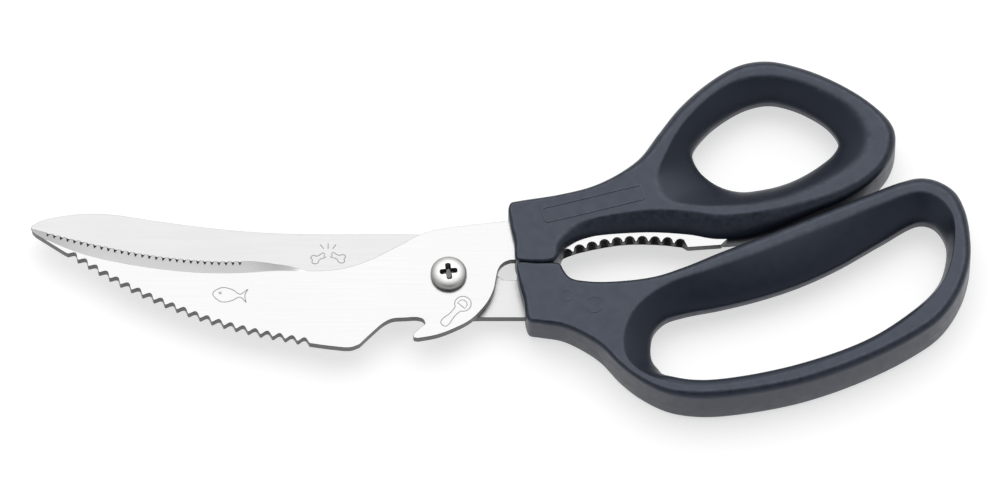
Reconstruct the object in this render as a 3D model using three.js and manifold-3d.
// Poultry shears, lying flat and closed, in millimetres, +Z up.
// Two steel blades cross at a screw pivot. Each blade has a tang, and each tang carries a moulded handle.
// The blades point to -X, the handles to +X, and the thumb ring is on the +Y side.
// Everything is drawn about the pivot axis and the plane where the blades meet, then moved so that
// the origin is at the middle of the underside.
import * as THREE from "three";
import { mergeVertices } from "three/addons/utils/BufferGeometryUtils.js";
import Module from "manifold-3d";

const wasm = await Module();
wasm.setup();

// Driving dimensions
const RING_HALF = 7; // half the thickness of the handles around the rings
const NECK_HALF = 5.4; // half the thickness of the handles at the blades
const NECK_X = 24; // where the neck starts to grow thicker
const RING_X = 62; // where the handles reach their full thickness
const GAP = 0.3; // clearance between pieces
const BLADE = 2.4; // thickness of each blade
const FRONT_Z = 0.15; // flat side of the front blade
const REAR_Z = -FRONT_Z - BLADE; // outer side of the rear blade
const EDGE_LAND = 0.6; // thickness left at the cutting edge
const GRIND_STEPS = 14;
const GRIND_OVERRUN = 0.8; // how far the grinding wedge reaches past its two lines
const GRIND_WEDGE_H = 4; // height of the grinding wedge above the blade
const SCREW_R = 2.5; // M5 pivot screw
const HEAD_R = 4.8;
const HEAD_SIDE = 1.1; // straight part of the head's side
const HEAD_H = 2.2;
const DOME_POWER = 2.6; // how flat the head's dome is in the middle
const RECESS_ARM = 1.1; // width of an arm of the cross recess
const RECESS_SPAN = 4.8;
const RECESS_DEPTH = 1.5;
const RECESS_TURN = 0.12; // how far the screw happened to stop turning, in radians
const NUT_R = 4.6; // across the corners
const NUT_H = 2.6;
const THREAD_END = 0.9; // how far the screw stands out of the nut
const WASHER_R = 4.7;
const WASHER_T = 0.5;
const SCALER_NOTCHES = 21; // with 20 teeth between them
const SCALER_R = 1.3; // radius of the round notch between two scaler teeth
const SCALER_NOTCH_STEPS = 6;
const EDGE_NOTCHES = 29;
const EDGE_NOTCH_W = 1.05;
const EDGE_NOTCH_D = 1.35;
const NUT_TEETH = 10;
const NUT_TOOTH_PITCH = 3.35;
const NUT_TOOTH_R = 1.35;
const NUT_TOOTH_DEPTH = 1.5; // at the outer face, falling to nothing at the flat side
const FRONT_NUT_START = 31.6; // x of the first hollow of the front blade's nut cracker
const REAR_NUT_START = 35.5;
const REAR_NUT_TEETH = 6;
const REAR_NUT_Y = -1.3;
const MAX_ROLL_DROP = 4.5; // how far the handles' widest rolled edges drop
const SCOOP_POWER = 0.7; // how the ring holes' walls curve between waist and rim
const THUMB_WAIST_HALF = 0.9; // half the height of the straight part of the thumb hole's wall
const FINGER_WAIST_HALF = 1.2;
const CENTRE_X = 13.85; // middle of the closed shears, from the pivot
const CENTRE_Y = 12.0;

const steel = { color: 0xd9dbdd, roughness: 0.28, metalness: 1 };
const plastic = { color: 0x2b3038, roughness: 0.5, metalness: 0 };
const screwSteel = { color: 0xc9cbcd, roughness: 0.3, metalness: 1 };

const shears = new THREE.Group();
shears.position.set(-CENTRE_X, -CENTRE_Y, RING_HALF);

function addPiece(name, geometry, look) {
  const mesh = new THREE.Mesh(geometry, new THREE.MeshStandardMaterial(look));
  mesh.name = name;
  shears.add(mesh);
  return mesh;
}

function toSolid(geometry) {
  const bare = new THREE.BufferGeometry();
  bare.setAttribute("position", geometry.getAttribute("position").clone());
  if (geometry.index) bare.setIndex(geometry.index.clone());
  const merged = mergeVertices(bare, 1e-4);
  return new wasm.Manifold(
    new wasm.Mesh({
      numProp: 3,
      vertProperties: merged.attributes.position.array,
      triVerts: new Uint32Array(merged.index.array),
    }),
  );
}

function toGeometry(solid) {
  const mesh = solid.getMesh();
  const positions = new Float32Array(mesh.numVert * 3);
  for (let i = 0; i < mesh.numVert; i++) {
    const start = i * mesh.numProp;
    positions.set(mesh.vertProperties.subarray(start, start + 3), i * 3);
  }
  const geometry = new THREE.BufferGeometry();
  geometry.setAttribute("position", new THREE.BufferAttribute(positions, 3));
  geometry.setIndex(new THREE.BufferAttribute(mesh.triVerts, 1));
  geometry.computeVertexNormals();
  return geometry;
}

const vector = ([x, y]) => new THREE.Vector2(x, y);

function curve(points) {
  return new THREE.SplineCurve(points.map(vector));
}

// Points along a smooth curve through a few points, without its first point.
function along(points, steps) {
  return curve(points).getSpacedPoints(steps).slice(1);
}

function plate(points, bottom, height) {
  const geometry = new THREE.ExtrudeGeometry(new THREE.Shape(points), {
    depth: height,
    bevelEnabled: false,
  });
  geometry.translate(0, 0, bottom);
  return toSolid(geometry);
}

function cylinder(radius, bottom, height, sides) {
  const geometry = new THREE.CylinderGeometry(radius, radius, height, sides);
  geometry.rotateX(Math.PI / 2);
  geometry.translate(0, 0, bottom + height / 2);
  return toSolid(geometry);
}

// A closed solid through a row of sections, each a list of as many points.
function loft(sections) {
  const count = sections[0].length;
  const positions = sections.flat().flatMap((p) => [p.x, p.y, p.z]);
  const index = [];
  for (let s = 0; s + 1 < sections.length; s++) {
    for (let i = 0; i < count; i++) {
      const j = (i + 1) % count;
      const a = s * count + i;
      const b = s * count + j;
      index.push(a, b, b + count, a, b + count, a + count);
    }
  }
  const last = (sections.length - 1) * count;
  for (let i = 1; i + 1 < count; i++) {
    index.push(0, i + 1, i);
    index.push(last, last + i, last + i + 1);
  }
  const geometry = new THREE.BufferGeometry();
  geometry.setAttribute("position", new THREE.Float32BufferAttribute(positions, 3));
  geometry.setIndex(index);
  return toSolid(geometry);
}

// Grows a counter-clockwise polygon by moving each side out.
function grown(points, by) {
  return points.map((point, i) => {
    const before = points[(i + points.length - 1) % points.length];
    const after = points[(i + 1) % points.length];
    const inward = point.clone().sub(before).normalize();
    const outward = after.clone().sub(point).normalize();
    const normal = new THREE.Vector2(inward.y + outward.y, -inward.x - outward.x).normalize();
    const cosine = normal.x * outward.y - normal.y * outward.x;
    return point.clone().addScaledVector(normal, by / Math.max(cosine, 0.5));
  });
}

// Blades

// The spine of the front blade between the tip and the heel, where the scaler teeth are cut.
const scalerCurve = curve([[-101.8, 6.2], [-84.3, -4.5], [-65.6, -12.9], [-52.4, -16.9], [-36.9, -20.1]]);

function scalerEdge() {
  const points = [];
  for (let notch = 0; notch < SCALER_NOTCHES; notch++) {
    const u = (notch + 0.5) / SCALER_NOTCHES;
    const centre = scalerCurve.getPointAt(u);
    const forward = scalerCurve.getTangentAt(u);
    const inward = new THREE.Vector2(-forward.y, forward.x);
    for (let step = 0; step <= SCALER_NOTCH_STEPS; step++) {
      const angle = Math.PI * (1 - step / SCALER_NOTCH_STEPS);
      const point = centre.clone().addScaledVector(forward, SCALER_R * Math.cos(angle));
      points.push(point.addScaledVector(inward, SCALER_R * Math.sin(angle)));
    }
  }
  return points;
}

// The cutting edge of the front blade, from the bone notch to the tip.
const frontEdge = curve([
  [-39.2, 1.7], [-44.5, 3.6], [-52, 4.8], [-62.7, 4.9], [-77.7, 6.4], [-92.6, 9.4], [-110, 14],
]);
const frontGrind = curve([
  [-39.2, 1.6], [-45.6, 1.2], [-56, 0.5], [-67, 0.6], [-82, 2.4], [-98, 6.2], [-111.5, 12.3],
]);
const NOTCHES_FROM = 0.225; // share of the edge's length
const NOTCHES_TO = 0.96;

function notchedEdge() {
  const points = along([[-38, 1.3], [-39.2, 1.7], [-44.5, 3.6], [-52, 4.8]], 6);
  for (let notch = 0; notch < EDGE_NOTCHES; notch++) {
    const u = NOTCHES_FROM + ((NOTCHES_TO - NOTCHES_FROM) * notch) / (EDGE_NOTCHES - 1);
    const centre = frontEdge.getPointAt(u);
    const forward = frontEdge.getTangentAt(u);
    const inward = new THREE.Vector2(-forward.y, forward.x);
    points.push(centre.clone().addScaledVector(forward, -EDGE_NOTCH_W / 2));
    points.push(centre.clone().addScaledVector(inward, EDGE_NOTCH_D));
    points.push(centre.clone().addScaledVector(forward, EDGE_NOTCH_W / 2));
  }
  return points;
}

// The edge of the front blade's tang that cracks nuts.
const frontNutEdge = curve([
  [30.4, 5.6], [33.7, 7], [39.9, 8.6], [46, 9.65], [51, 9.9], [57.7, 9.6], [62.3, 9],
]);

// Each tang from the blade's neck, counter-clockwise.
const frontTang = [
  ...[[14.9, 3.8], [16.5, 4.4], [26.5, 4.6], [28.8, 5]].map(vector),
  ...frontNutEdge.getSpacedPoints(16),
  ...[[63.8, 8.1], [72.7, 8.8], [75.2, 11.4], [79, 13.8], [70, 15.8], [55, 17.4], [30, 17.6]].map(vector),
  ...[[16.9, 16.1], [12, 15.6]].map(vector),
];
const rearTang = [
  [9.4, -11.3], [20.6, -11.3], [42, -12], [47, -8.8], [53.5, -5.4], [57, -3.2], [55.3, REAR_NUT_Y],
  [33, REAR_NUT_Y], [29, -0.5], [14.5, -0.3],
].map(vector);

// A wedge that grinds a blade from its grind line down to its cutting edge.
function grinder(edge, grind, flatZ, outerZ) {
  const side = Math.sign(outerZ - flatZ);
  const sections = [];
  for (let step = 0; step <= GRIND_STEPS; step++) {
    const from = grind.getPointAt(step / GRIND_STEPS);
    const to = edge.getPointAt(step / GRIND_STEPS);
    const away = to.clone().sub(from).normalize();
    const width = Math.max(to.distanceTo(from), GRIND_OVERRUN);
    const slope = (BLADE - EDGE_LAND) / width;
    const start = from.clone().addScaledVector(away, -GRIND_OVERRUN);
    const end = from.clone().addScaledVector(away, width + GRIND_OVERRUN);
    sections.push([
      new THREE.Vector3(start.x, start.y, outerZ + side * GRIND_WEDGE_H),
      new THREE.Vector3(end.x, end.y, outerZ + side * GRIND_WEDGE_H),
      new THREE.Vector3(end.x, end.y, outerZ - side * slope * (width + GRIND_OVERRUN)),
      new THREE.Vector3(start.x, start.y, outerZ + side * slope * GRIND_OVERRUN),
    ]);
  }
  return loft(sections);
}

// A leaning cylinder that grinds one hollow between two nut-cracker teeth.
// side is 1 for the front blade, whose hollows lean up and in, and -1 for the rear blade.
function nutToothCutter(x, edgeY, side) {
  const lean = Math.atan2(NUT_TOOTH_DEPTH, BLADE);
  const geometry = new THREE.CylinderGeometry(NUT_TOOTH_R, NUT_TOOTH_R, 12, 12);
  geometry.rotateX(Math.PI / 2);
  geometry.rotateX(-lean);
  geometry.translate(x, edgeY - side * (NUT_TOOTH_R / Math.cos(lean)), side * FRONT_Z);
  return toSolid(geometry);
}

// The y of a curve that runs towards +X, at some x.
function heightAt(line, x) {
  const points = line.getSpacedPoints(200);
  return points.find((point) => point.x >= x).y;
}

function frontBladeSolid() {
  const outline = [
    ...along([[-110, 14.4], [-111.2, 13.9], [-111.2, 12.6], [-110.4, 11.4]], 6),
    ...along([[-110.4, 11.4], [-105.2, 8.5], [-101.8, 6.2]], 4),
    ...scalerEdge(),
    ...along([[-36.9, -20.1], [-30.7, -21], [-26.1, -21.3], [-23.7, -20.4]], 4),
    ...along([[-23.7, -20.4], [-20, -16.6], [-17.3, -14.1], [-15, -12.9], [-11.5, -12.6], [-8.2, -12.5]], 8),
    ...along([[-8.2, -12.5], [-6.7, -13.1], [-6.2, -14.3]], 3),
    ...along([[-6.2, -14.3], [-9.4, -17.5], [-9.2, -18.5], [-8, -18.6]], 4),
    ...along([[-8, -18.6], [-3.2, -17.6], [1.1, -15.9], [5.7, -13.3], [8.6, -10.4], [10.8, -7.2]], 10),
    ...along([[10.8, -7.2], [12.1, -4], [12.8, -0.4], [13.6, 2.3], [14.9, 3.8]], 8),
    ...frontTang.slice(1),
    ...along([[12, 15.6], [-5.8, 12.6], [-13, 8.8], [-20, 4.9], [-26.9, 2.2], [-32.5, 1.3], [-38, 1.3]], 14),
    ...notchedEdge(),
  ];
  let solid = plate(outline, FRONT_Z, BLADE);
  solid = solid.subtract(grinder(frontEdge, frontGrind, FRONT_Z, FRONT_Z + BLADE));
  for (let tooth = 0; tooth < NUT_TEETH; tooth++) {
    const x = FRONT_NUT_START + tooth * NUT_TOOTH_PITCH;
    solid = solid.subtract(nutToothCutter(x, heightAt(frontNutEdge, x), 1));
  }
  return solid.subtract(cylinder(SCREW_R + GAP, FRONT_Z - 1, BLADE + 2, 24));
}

function rearBladeSolid() {
  const outline = [
    ...along([[-111.2, 15.9], [-111.6, 15.2], [-111, 14.3], [-109, 12.9]], 5),
    ...along([[-109, 12.9], [-100, 9.7], [-85, 6], [-70, 3.9], [-55, 3.2], [-45, 1.8], [-35, 0.2]], 15),
    ...along([[-35, 0.2], [-24, -1.5], [-16, -5], [-8, -9.5], [0, -11.3], [9.4, -11.3]], 9),
    ...rearTang.slice(1),
    ...along([[14.5, -0.3], [11.6, 2.6], [9, 6.6], [5.5, 10], [0, 12.1], [-8, 13.1], [-18.4, 13.2]], 12),
    ...along([[-18.4, 13.2], [-31.7, 13.2], [-46.7, 13.5], [-62, 14.8], [-78.2, 17.1], [-90, 19]], 12),
    ...along([[-90, 19], [-97.4, 19.2], [-103, 18.6], [-108.7, 17.3], [-111.2, 15.9]], 8),
  ];
  const edge = curve([
    [-36, 0.3], [-45, 1.8], [-55, 3.2], [-70, 3.9], [-85, 6], [-100, 9.7], [-110.5, 13.7],
  ]);
  const grind = curve([
    [-36, 0.9], [-46, 5.2], [-58, 7.8], [-72, 9.4], [-86, 12], [-100, 15], [-110.6, 16.6],
  ]);
  let solid = plate(outline, REAR_Z, BLADE);
  solid = solid.subtract(grinder(edge, grind, -FRONT_Z, REAR_Z));
  for (let tooth = 0; tooth < REAR_NUT_TEETH; tooth++) {
    solid = solid.subtract(nutToothCutter(REAR_NUT_START + tooth * NUT_TOOTH_PITCH, REAR_NUT_Y, -1));
  }
  return solid.subtract(cylinder(SCREW_R + GAP, REAR_Z - 1, BLADE + 2, 24));
}

// Handles

function halfThickness(x) {
  return NECK_HALF + (RING_HALF - NECK_HALF) * THREE.MathUtils.smoothstep(x, NECK_X, RING_X);
}

function closedCurve(points) {
  const through = points.map(([x, y, z = 0]) => new THREE.Vector3(x, y, z));
  return new THREE.CatmullRomCurve3(through, true, "centripetal");
}

// A handle: an outline whose edges roll over to its two flat sides, and a ring hole whose walls
// slope from the rim on each side to a narrow waist. Each point of the outline gives x, y and the width of
// the rolled edge there, and the hole's waist and rim have a point for each other's.
function handleSolid(outlinePoints, waistPoints, rimPoints, waistHalf) {
  const outline = closedCurve(outlinePoints);
  const samples = outlinePoints.length * 3;
  const outer = [];
  for (let i = 0; i < samples; i++) {
    const point = outline.getPoint(i / samples);
    const tangent = outline.getTangent(i / samples);
    const inward = new THREE.Vector2(-tangent.y, tangent.x).normalize();
    outer.push({ point, inward });
  }
  const holeSamples = waistPoints.length * 2;
  const waist = closedCurve(waistPoints).getPoints(holeSamples).slice(0, holeSamples);
  const rim = closedCurve(rimPoints).getPoints(holeSamples).slice(0, holeSamples);

  const positions = [];
  const index = [];
  const addRing = (points) => {
    const first = positions.length / 3;
    points.forEach((p) => positions.push(p.x, p.y, p.z));
    return first;
  };
  const bridge = (lower, upper, count) => {
    for (let i = 0; i < count; i++) {
      const j = (i + 1) % count;
      index.push(lower + i, lower + j, upper + j, lower + i, upper + j, upper + i);
    }
  };
  const outerRing = (turn, side) =>
    outer.map(({ point, inward }) => {
      const drop = Math.min(point.z, MAX_ROLL_DROP);
      const x = point.x + inward.x * point.z * (1 - Math.cos(turn));
      const y = point.y + inward.y * point.z * (1 - Math.cos(turn));
      return { x, y, z: side * (halfThickness(x) - drop * (1 - Math.sin(turn))) };
    });
  const holeRing = (share, side) =>
    waist.map((point, i) => {
      const x = THREE.MathUtils.lerp(point.x, rim[i].x, share);
      const y = THREE.MathUtils.lerp(point.y, rim[i].y, share);
      const rise = share ** SCOOP_POWER;
      return { x, y, z: side * THREE.MathUtils.lerp(waistHalf, halfThickness(x), rise) };
    });

  const turns = [Math.PI / 2, Math.PI / 4, 0];
  const outerStack = [
    ...turns.map((turn) => addRing(outerRing(turn, -1))),
    ...turns.reverse().map((turn) => addRing(outerRing(turn, 1))),
  ];
  for (let i = 0; i + 1 < outerStack.length; i++) bridge(outerStack[i], outerStack[i + 1], samples);
  const shares = [1, 0.6, 0.25, 0.06, 0];
  const holeStack = [
    ...shares.map((share) => addRing(holeRing(share, -1))),
    ...shares.reverse().map((share) => addRing(holeRing(share, 1))),
  ];
  for (let i = 0; i + 1 < holeStack.length; i++) bridge(holeStack[i], holeStack[i + 1], holeSamples);

  const cap = (outerStart, holeStart, flip) => {
    const corner = (i) => new THREE.Vector2(positions[3 * i], positions[3 * i + 1]);
    const pick = (start, count) => Array.from({ length: count }, (_, i) => corner(start + i));
    const hole = pick(holeStart, holeSamples);
    const faces = THREE.ShapeUtils.triangulateShape(pick(outerStart, samples), [hole]);
    const vertex = (i) => (i < samples ? outerStart + i : holeStart + i - samples);
    faces.forEach(([a, b, c]) => {
      if (flip) index.push(vertex(a), vertex(c), vertex(b));
      else index.push(vertex(a), vertex(b), vertex(c));
    });
  };
  cap(outerStack.at(-1), holeStack.at(-1), false);
  cap(outerStack[0], holeStack[0], true);

  const geometry = new THREE.BufferGeometry();
  geometry.setAttribute("position", new THREE.Float32BufferAttribute(positions, 3));
  geometry.setIndex(index);
  return toSolid(geometry);
}

const thumbOutline = [
  [19.5, 2.9, 0.8], [27.5, 2.9, 1], [29.2, 4.2, 1.4], [30.6, 7.3, 2.6], [33.6, 9.3, 3.7],
  [38, 10.6, 4.4], [46, 11.7, 4.8], [55, 12.3, 4.6], [64.4, 11.7, 4.7], [71, 10.8, 5],
  [77.5, 11.2, 4.7], [86, 13.3, 4.3], [97, 17.4, 3.6], [106.4, 21.6, 2.8], [113, 26.2, 2.3],
  [117.4, 31.5, 2.3], [119.4, 37, 2.5], [119.3, 41.5, 2.8], [117.6, 44.8, 3], [112.5, 49.8, 3],
  [104.5, 55.3, 3], [95, 59.8, 3], [85.5, 62.1, 3], [77.8, 60.9, 3], [69.8, 56, 3], [61.8, 48.4, 3],
  [56, 40.5, 2.8], [51.1, 33.4, 2.4], [45.7, 28.9, 1.8], [38.5, 25.1, 1.4], [29.7, 22.8, 1.3],
  [18.5, 20.8, 1.1], [16.6, 20.2, 0.9], [15.9, 18.4, 0.9], [16.5, 13.5, 1.1], [17.5, 8.5, 1.1],
  [17.7, 4.7, 0.8], [18.2, 3.4, 0.6],
];
const thumbWaist = [
  [65.2, 36.5], [69, 42.5], [75.1, 47.6], [80.4, 50.4], [85.8, 51.5], [91.1, 50.4], [96.5, 47.9],
  [101.8, 43.9], [104.3, 39.5], [103, 36.3], [99.1, 32.7], [93.8, 29.2], [88.5, 26.9], [83.1, 25.6],
  [78.5, 25.1], [73.8, 26.1], [69.8, 28.4], [66.6, 31.9],
];
const thumbRim = [
  [58.2, 34.5], [62.5, 42.5], [69.5, 50.9], [77, 56.2], [85.5, 57.4], [94, 55.8], [102, 52],
  [109, 46.5], [112.5, 39.5], [110.5, 33], [105, 28.3], [97.5, 24], [90, 20.8], [82, 18.9],
  [74, 18.2], [65, 18.4], [58, 20.3], [55.4, 26.5],
];

const fingerOutline = [
  [18.2, 1.7, 0.9], [18.5, -1.5, 1.1], [19.2, -5, 1.1], [20.1, -8.6, 1.1], [20.6, -12.6, 1.1],
  [21.5, -14.6, 1], [24.4, -15.3, 1.2], [30, -16.3, 1.3], [35, -18.6, 1.3], [40.4, -22.3, 1.2],
  [45.7, -28.2, 1.1], [51.1, -32.7, 1], [58.5, -36.6, 0.9], [67.1, -38.1, 0.9], [77.8, -37.3, 0.9],
  [93.8, -34, 0.9], [109.8, -28, 0.9], [123.2, -20.8, 1], [131.2, -14.6, 1.2], [136.5, -6.2, 1.5],
  [139, 2.5, 1.8], [139.2, 9.5, 2.2], [138, 17.5, 2.6], [135.3, 23.4, 3], [130.5, 26.7, 3],
  [125.8, 27.5, 3], [120.5, 26.1, 3], [111, 22, 3], [97, 15.7, 3], [83.1, 9.9, 3], [72, 5.2, 2.6],
  [63.1, 1.1, 2], [55, -1.9, 1.5], [45, -3.1, 1.4], [37, -2.9, 1.3], [32.5, -1.8, 1.2],
  [30.6, 0.6, 1], [29.9, 2, 0.9], [28.9, 2.5, 0.9], [23.5, 2.5, 0.9], [18.8, 2.45, 0.9],
];
const fingerWaist = [
  [53.8, -20.5], [54.6, -16.3], [57.7, -12.8], [63, -10.9], [72.4, -8.9], [83.1, -6], [93.8, -2.1],
  [104.5, 3.3], [115.2, 10], [125.5, 15.9], [129.3, 15.1], [132, 11.7], [132.9, 7.6], [130.1, -3.3],
  [115.2, -16.4], [93.8, -25.5], [70, -30], [61.8, -29.5], [56.6, -27.7], [54.2, -24.7],
];
const fingerRim = [
  [46.3, -21.5], [47.2, -16], [50.3, -10.5], [58.5, -4.2], [70, 0.2], [82, 5], [93, 9.8],
  [104, 14.4], [114.5, 18.9], [126, 22.6], [131, 20.6], [134.3, 16], [135, 9.5], [131.8, -3.8],
  [116.6, -18.6], [94.6, -28.2], [69.5, -33.4], [59.5, -32.8], [51.8, -30.2], [47.3, -26],
];
// The slot that a tang sits in, open at the blade and wherever the tang stands out of the handle.
function tangSlot(tang, bottom) {
  return plate(grown(tang, GAP), bottom - GAP, BLADE + 2 * GAP);
}

function thumbHandleSolid() {
  const solid = handleSolid(thumbOutline, thumbWaist, thumbRim, THUMB_WAIST_HALF);
  return solid.subtract(tangSlot(frontTang, FRONT_Z));
}

function fingerHandleSolid() {
  const solid = handleSolid(fingerOutline, fingerWaist, fingerRim, FINGER_WAIST_HALF);
  return solid.subtract(tangSlot(rearTang, REAR_Z));
}

// Pivot

function pivotScrewSolid() {
  const headZ = FRONT_Z + BLADE + GAP;
  const profile = [[0, 0], [HEAD_R, 0], [HEAD_R, HEAD_SIDE]].map(vector);
  const domeSteps = 5;
  for (let step = domeSteps - 1; step >= 0; step--) {
    const share = step / domeSteps;
    const rise = (HEAD_H - HEAD_SIDE) * (1 - share ** DOME_POWER);
    profile.push(new THREE.Vector2(HEAD_R * share, HEAD_SIDE + rise));
  }
  const head = new THREE.LatheGeometry(profile, 32);
  head.rotateX(Math.PI / 2);
  head.translate(0, 0, headZ);
  const shankEnd = REAR_Z - WASHER_T - NUT_H - THREAD_END;
  let solid = toSolid(head).add(cylinder(SCREW_R, shankEnd, headZ + 0.5 - shankEnd, 24));
  for (const turn of [RECESS_TURN, RECESS_TURN + Math.PI / 2]) {
    const arm = new THREE.BoxGeometry(RECESS_SPAN, RECESS_ARM, RECESS_DEPTH + 1);
    arm.rotateZ(turn);
    arm.translate(0, 0, headZ + HEAD_H + 0.5 - RECESS_DEPTH / 2);
    solid = solid.subtract(toSolid(arm));
  }
  return solid;
}

function springWasherSolid() {
  const top = REAR_Z - GAP / 2;
  return cylinder(WASHER_R, top - WASHER_T, WASHER_T, 32).subtract(cylinder(SCREW_R + GAP, top - 2, 4, 24));
}

function lockNutSolid() {
  const top = REAR_Z - WASHER_T - GAP;
  const bore = cylinder(SCREW_R + GAP / 2, top - NUT_H - 1, NUT_H + 2, 24);
  return cylinder(NUT_R, top - NUT_H, NUT_H, 6).subtract(bore);
}

addPiece("front_blade", toGeometry(frontBladeSolid()), steel);
addPiece("rear_blade", toGeometry(rearBladeSolid()), steel);
addPiece("thumb_handle", toGeometry(thumbHandleSolid()), plastic);
addPiece("finger_handle", toGeometry(fingerHandleSolid()), plastic);
addPiece("pivot_screw", toGeometry(pivotScrewSolid()), screwSteel);
addPiece("spring_washer", toGeometry(springWasherSolid()), screwSteel);
addPiece("lock_nut", toGeometry(lockNutSolid()), screwSteel);

export default shears;
